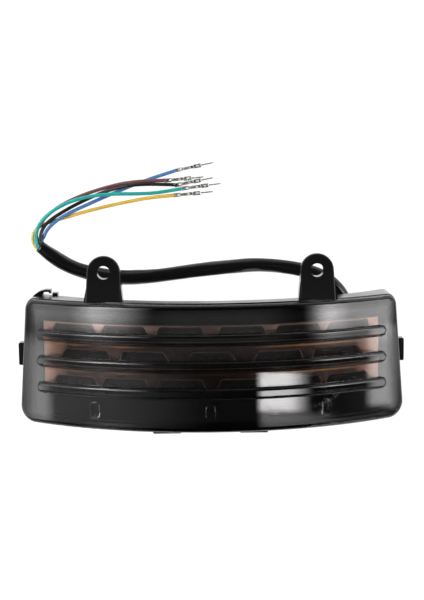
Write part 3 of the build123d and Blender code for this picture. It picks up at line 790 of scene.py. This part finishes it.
def glow(name, strength, fades):
    """A see-through glow that fades in over a share of the panel at each of its four sides."""
    n = Nodes(name)
    uv = n.add("ShaderNodeUVMap")
    split = n.add("ShaderNodeSeparateXYZ")
    n.link(uv.outputs[0], split.inputs[0])
    left, right, low, high = fades
    level = strength
    for axis, near, far in (("X", left, right), ("Y", low, high)):
        for start, full in ((0.0, near), (1.0, 1.0 - far)):
            fade = n.add("ShaderNodeMapRange", interpolation_type="SMOOTHSTEP")
            fade.inputs["From Min"].default_value = start
            fade.inputs["From Max"].default_value = full
            n.link(split.outputs[axis], fade.inputs["Value"])
            level = n.math("MULTIPLY", fade.outputs["Result"], level)
    emission = n.add("ShaderNodeEmission")
    n.link(level, emission.inputs["Strength"])
    clear = n.add("ShaderNodeBsdfTransparent")
    both = n.add("ShaderNodeAddShader")
    n.link(emission.outputs[0], both.inputs[0])
    n.link(clear.outputs[0], both.inputs[1])
    n.link(both.outputs[0], n.output.inputs["Surface"])
    return n.material


def sky_panel(name, radius, turn, reach, strength, *fades):
    """A glowing strip of a big cylinder round the lamp, between two turns from straight above, in
    degrees, and two reaches in y. The lamp's glossy face mirrors it."""
    vertices, faces, uvs = [], [], []
    for step in range(SKY_STEPS + 1):
        share = step / SKY_STEPS
        angle = radians(turn[0] + (turn[1] - turn[0]) * share)
        for y, v in ((reach[0], 0.0), (reach[1], 1.0)):
            vertices.append((radius * sin(angle), y, SKY_AXIS_Z + radius * cos(angle)))
            uvs.append((share, v))
        if step:
            faces.append((2 * step - 2, 2 * step, 2 * step + 1, 2 * step - 1))
    mesh = bpy.data.meshes.new(name)
    mesh.from_pydata(vertices, [], faces)
    layer = mesh.uv_layers.new(name="UVMap")
    for loop, corner in zip(layer.data, mesh.loops):
        loop.uv = uvs[corner.vertex_index]
    mesh.materials.append(glow(name, strength, fades))
    panel = bpy.data.objects.new(name, mesh)
    scene.collection.objects.link(panel)
    panel.visible_camera = False


# The sky's grey from the horizon up to straight above, and its strength by direction in y.
SKY_STOPS = ((0.0, 0.5), (0.15, 0.22), (0.35, 0.1), (0.6, 0.03), (1.0, 0.015))
SKY_FROM_Y, SKY_TO_Y = -0.5, 0.1
SKY_FRONT, SKY_BACK = 0.4, 3.0


def make_world():
    world = bpy.data.worlds.new("studio")
    world.use_nodes = True
    tree = world.node_tree
    tree.nodes.clear()
    output = tree.nodes.new("ShaderNodeOutputWorld")
    background = tree.nodes.new("ShaderNodeBackground")
    coordinates = tree.nodes.new("ShaderNodeTexCoord")
    split = tree.nodes.new("ShaderNodeSeparateXYZ")
    ramp = tree.nodes.new("ShaderNodeValToRGB")
    tree.links.new(coordinates.outputs["Generated"], split.inputs[0])
    tree.links.new(split.outputs["Z"], ramp.inputs["Fac"])
    tree.links.new(ramp.outputs["Color"], background.inputs["Color"])
    behind = tree.nodes.new("ShaderNodeMapRange")
    behind.inputs["From Min"].default_value = SKY_FROM_Y
    behind.inputs["From Max"].default_value = SKY_TO_Y
    behind.inputs["To Min"].default_value = SKY_FRONT
    behind.inputs["To Max"].default_value = SKY_BACK
    tree.links.new(split.outputs["Y"], behind.inputs["Value"])
    tree.links.new(behind.outputs["Result"], background.inputs["Strength"])
    tree.links.new(background.outputs[0], output.inputs["Surface"])
    while len(ramp.color_ramp.elements) < len(SKY_STOPS):
        ramp.color_ramp.elements.new(0.5)
    for element, (position, grey) in zip(ramp.color_ramp.elements, SKY_STOPS):
        element.position = position
        element.color = (grey, grey, grey, 1)
    scene.world = world


make_floor()
make_world()
# Each panel: name, turns, reaches, strength, and its fades at the left, right, low and high sides.
SKY_PANELS = (
    ("left_box", (-60, -22), (-0.50, 2.4), 10.5, 0.35, 0.75, 0.05, 0.3),
    ("left_side", (-80, -50), (-0.49, 1.6), 2.4, 0.2, 0.3, 0.05, 0.3),
    ("right_box", (37, 60), (-0.525, 1.6), 4.5, 0.5, 0.5, 0.05, 0.3),
    ("right_side", (40, 80), (-0.525, 1.6), 4.3, 0.25, 0.1, 0.05, 0.3),
    ("left_end", (-88, -66), (-1.1, -0.45), 2.6, 0.6, 0.3, 0.3, 0.1),
    ("right_end", (64, 84), (-0.71, -0.45), 4.4, 0.3, 0.5, 0.1, 0.1),
    ("top_glow", (-34, 38), (-0.62, -0.36), 0.28, 0.3, 0.3, 0.5, 0.2),
    ("low_glow", (-80, 2), (-1.2, -0.5), 0.5, 0.1, 0.6, 0.1, 0.2),
    ("low_box", (17.3, 41.5), (-0.755, -0.625), 12.5, 0.16, 0.5, 0.2, 0.03),
    ("low_skirt", (17.5, 56), (-0.87, -0.74), 2.0, 0.12, 0.6, 0.7, 0.3),
)
for place, (name, *values) in enumerate(SKY_PANELS):
    sky_panel(name, SKY_R + SKY_GAP * place, *values)
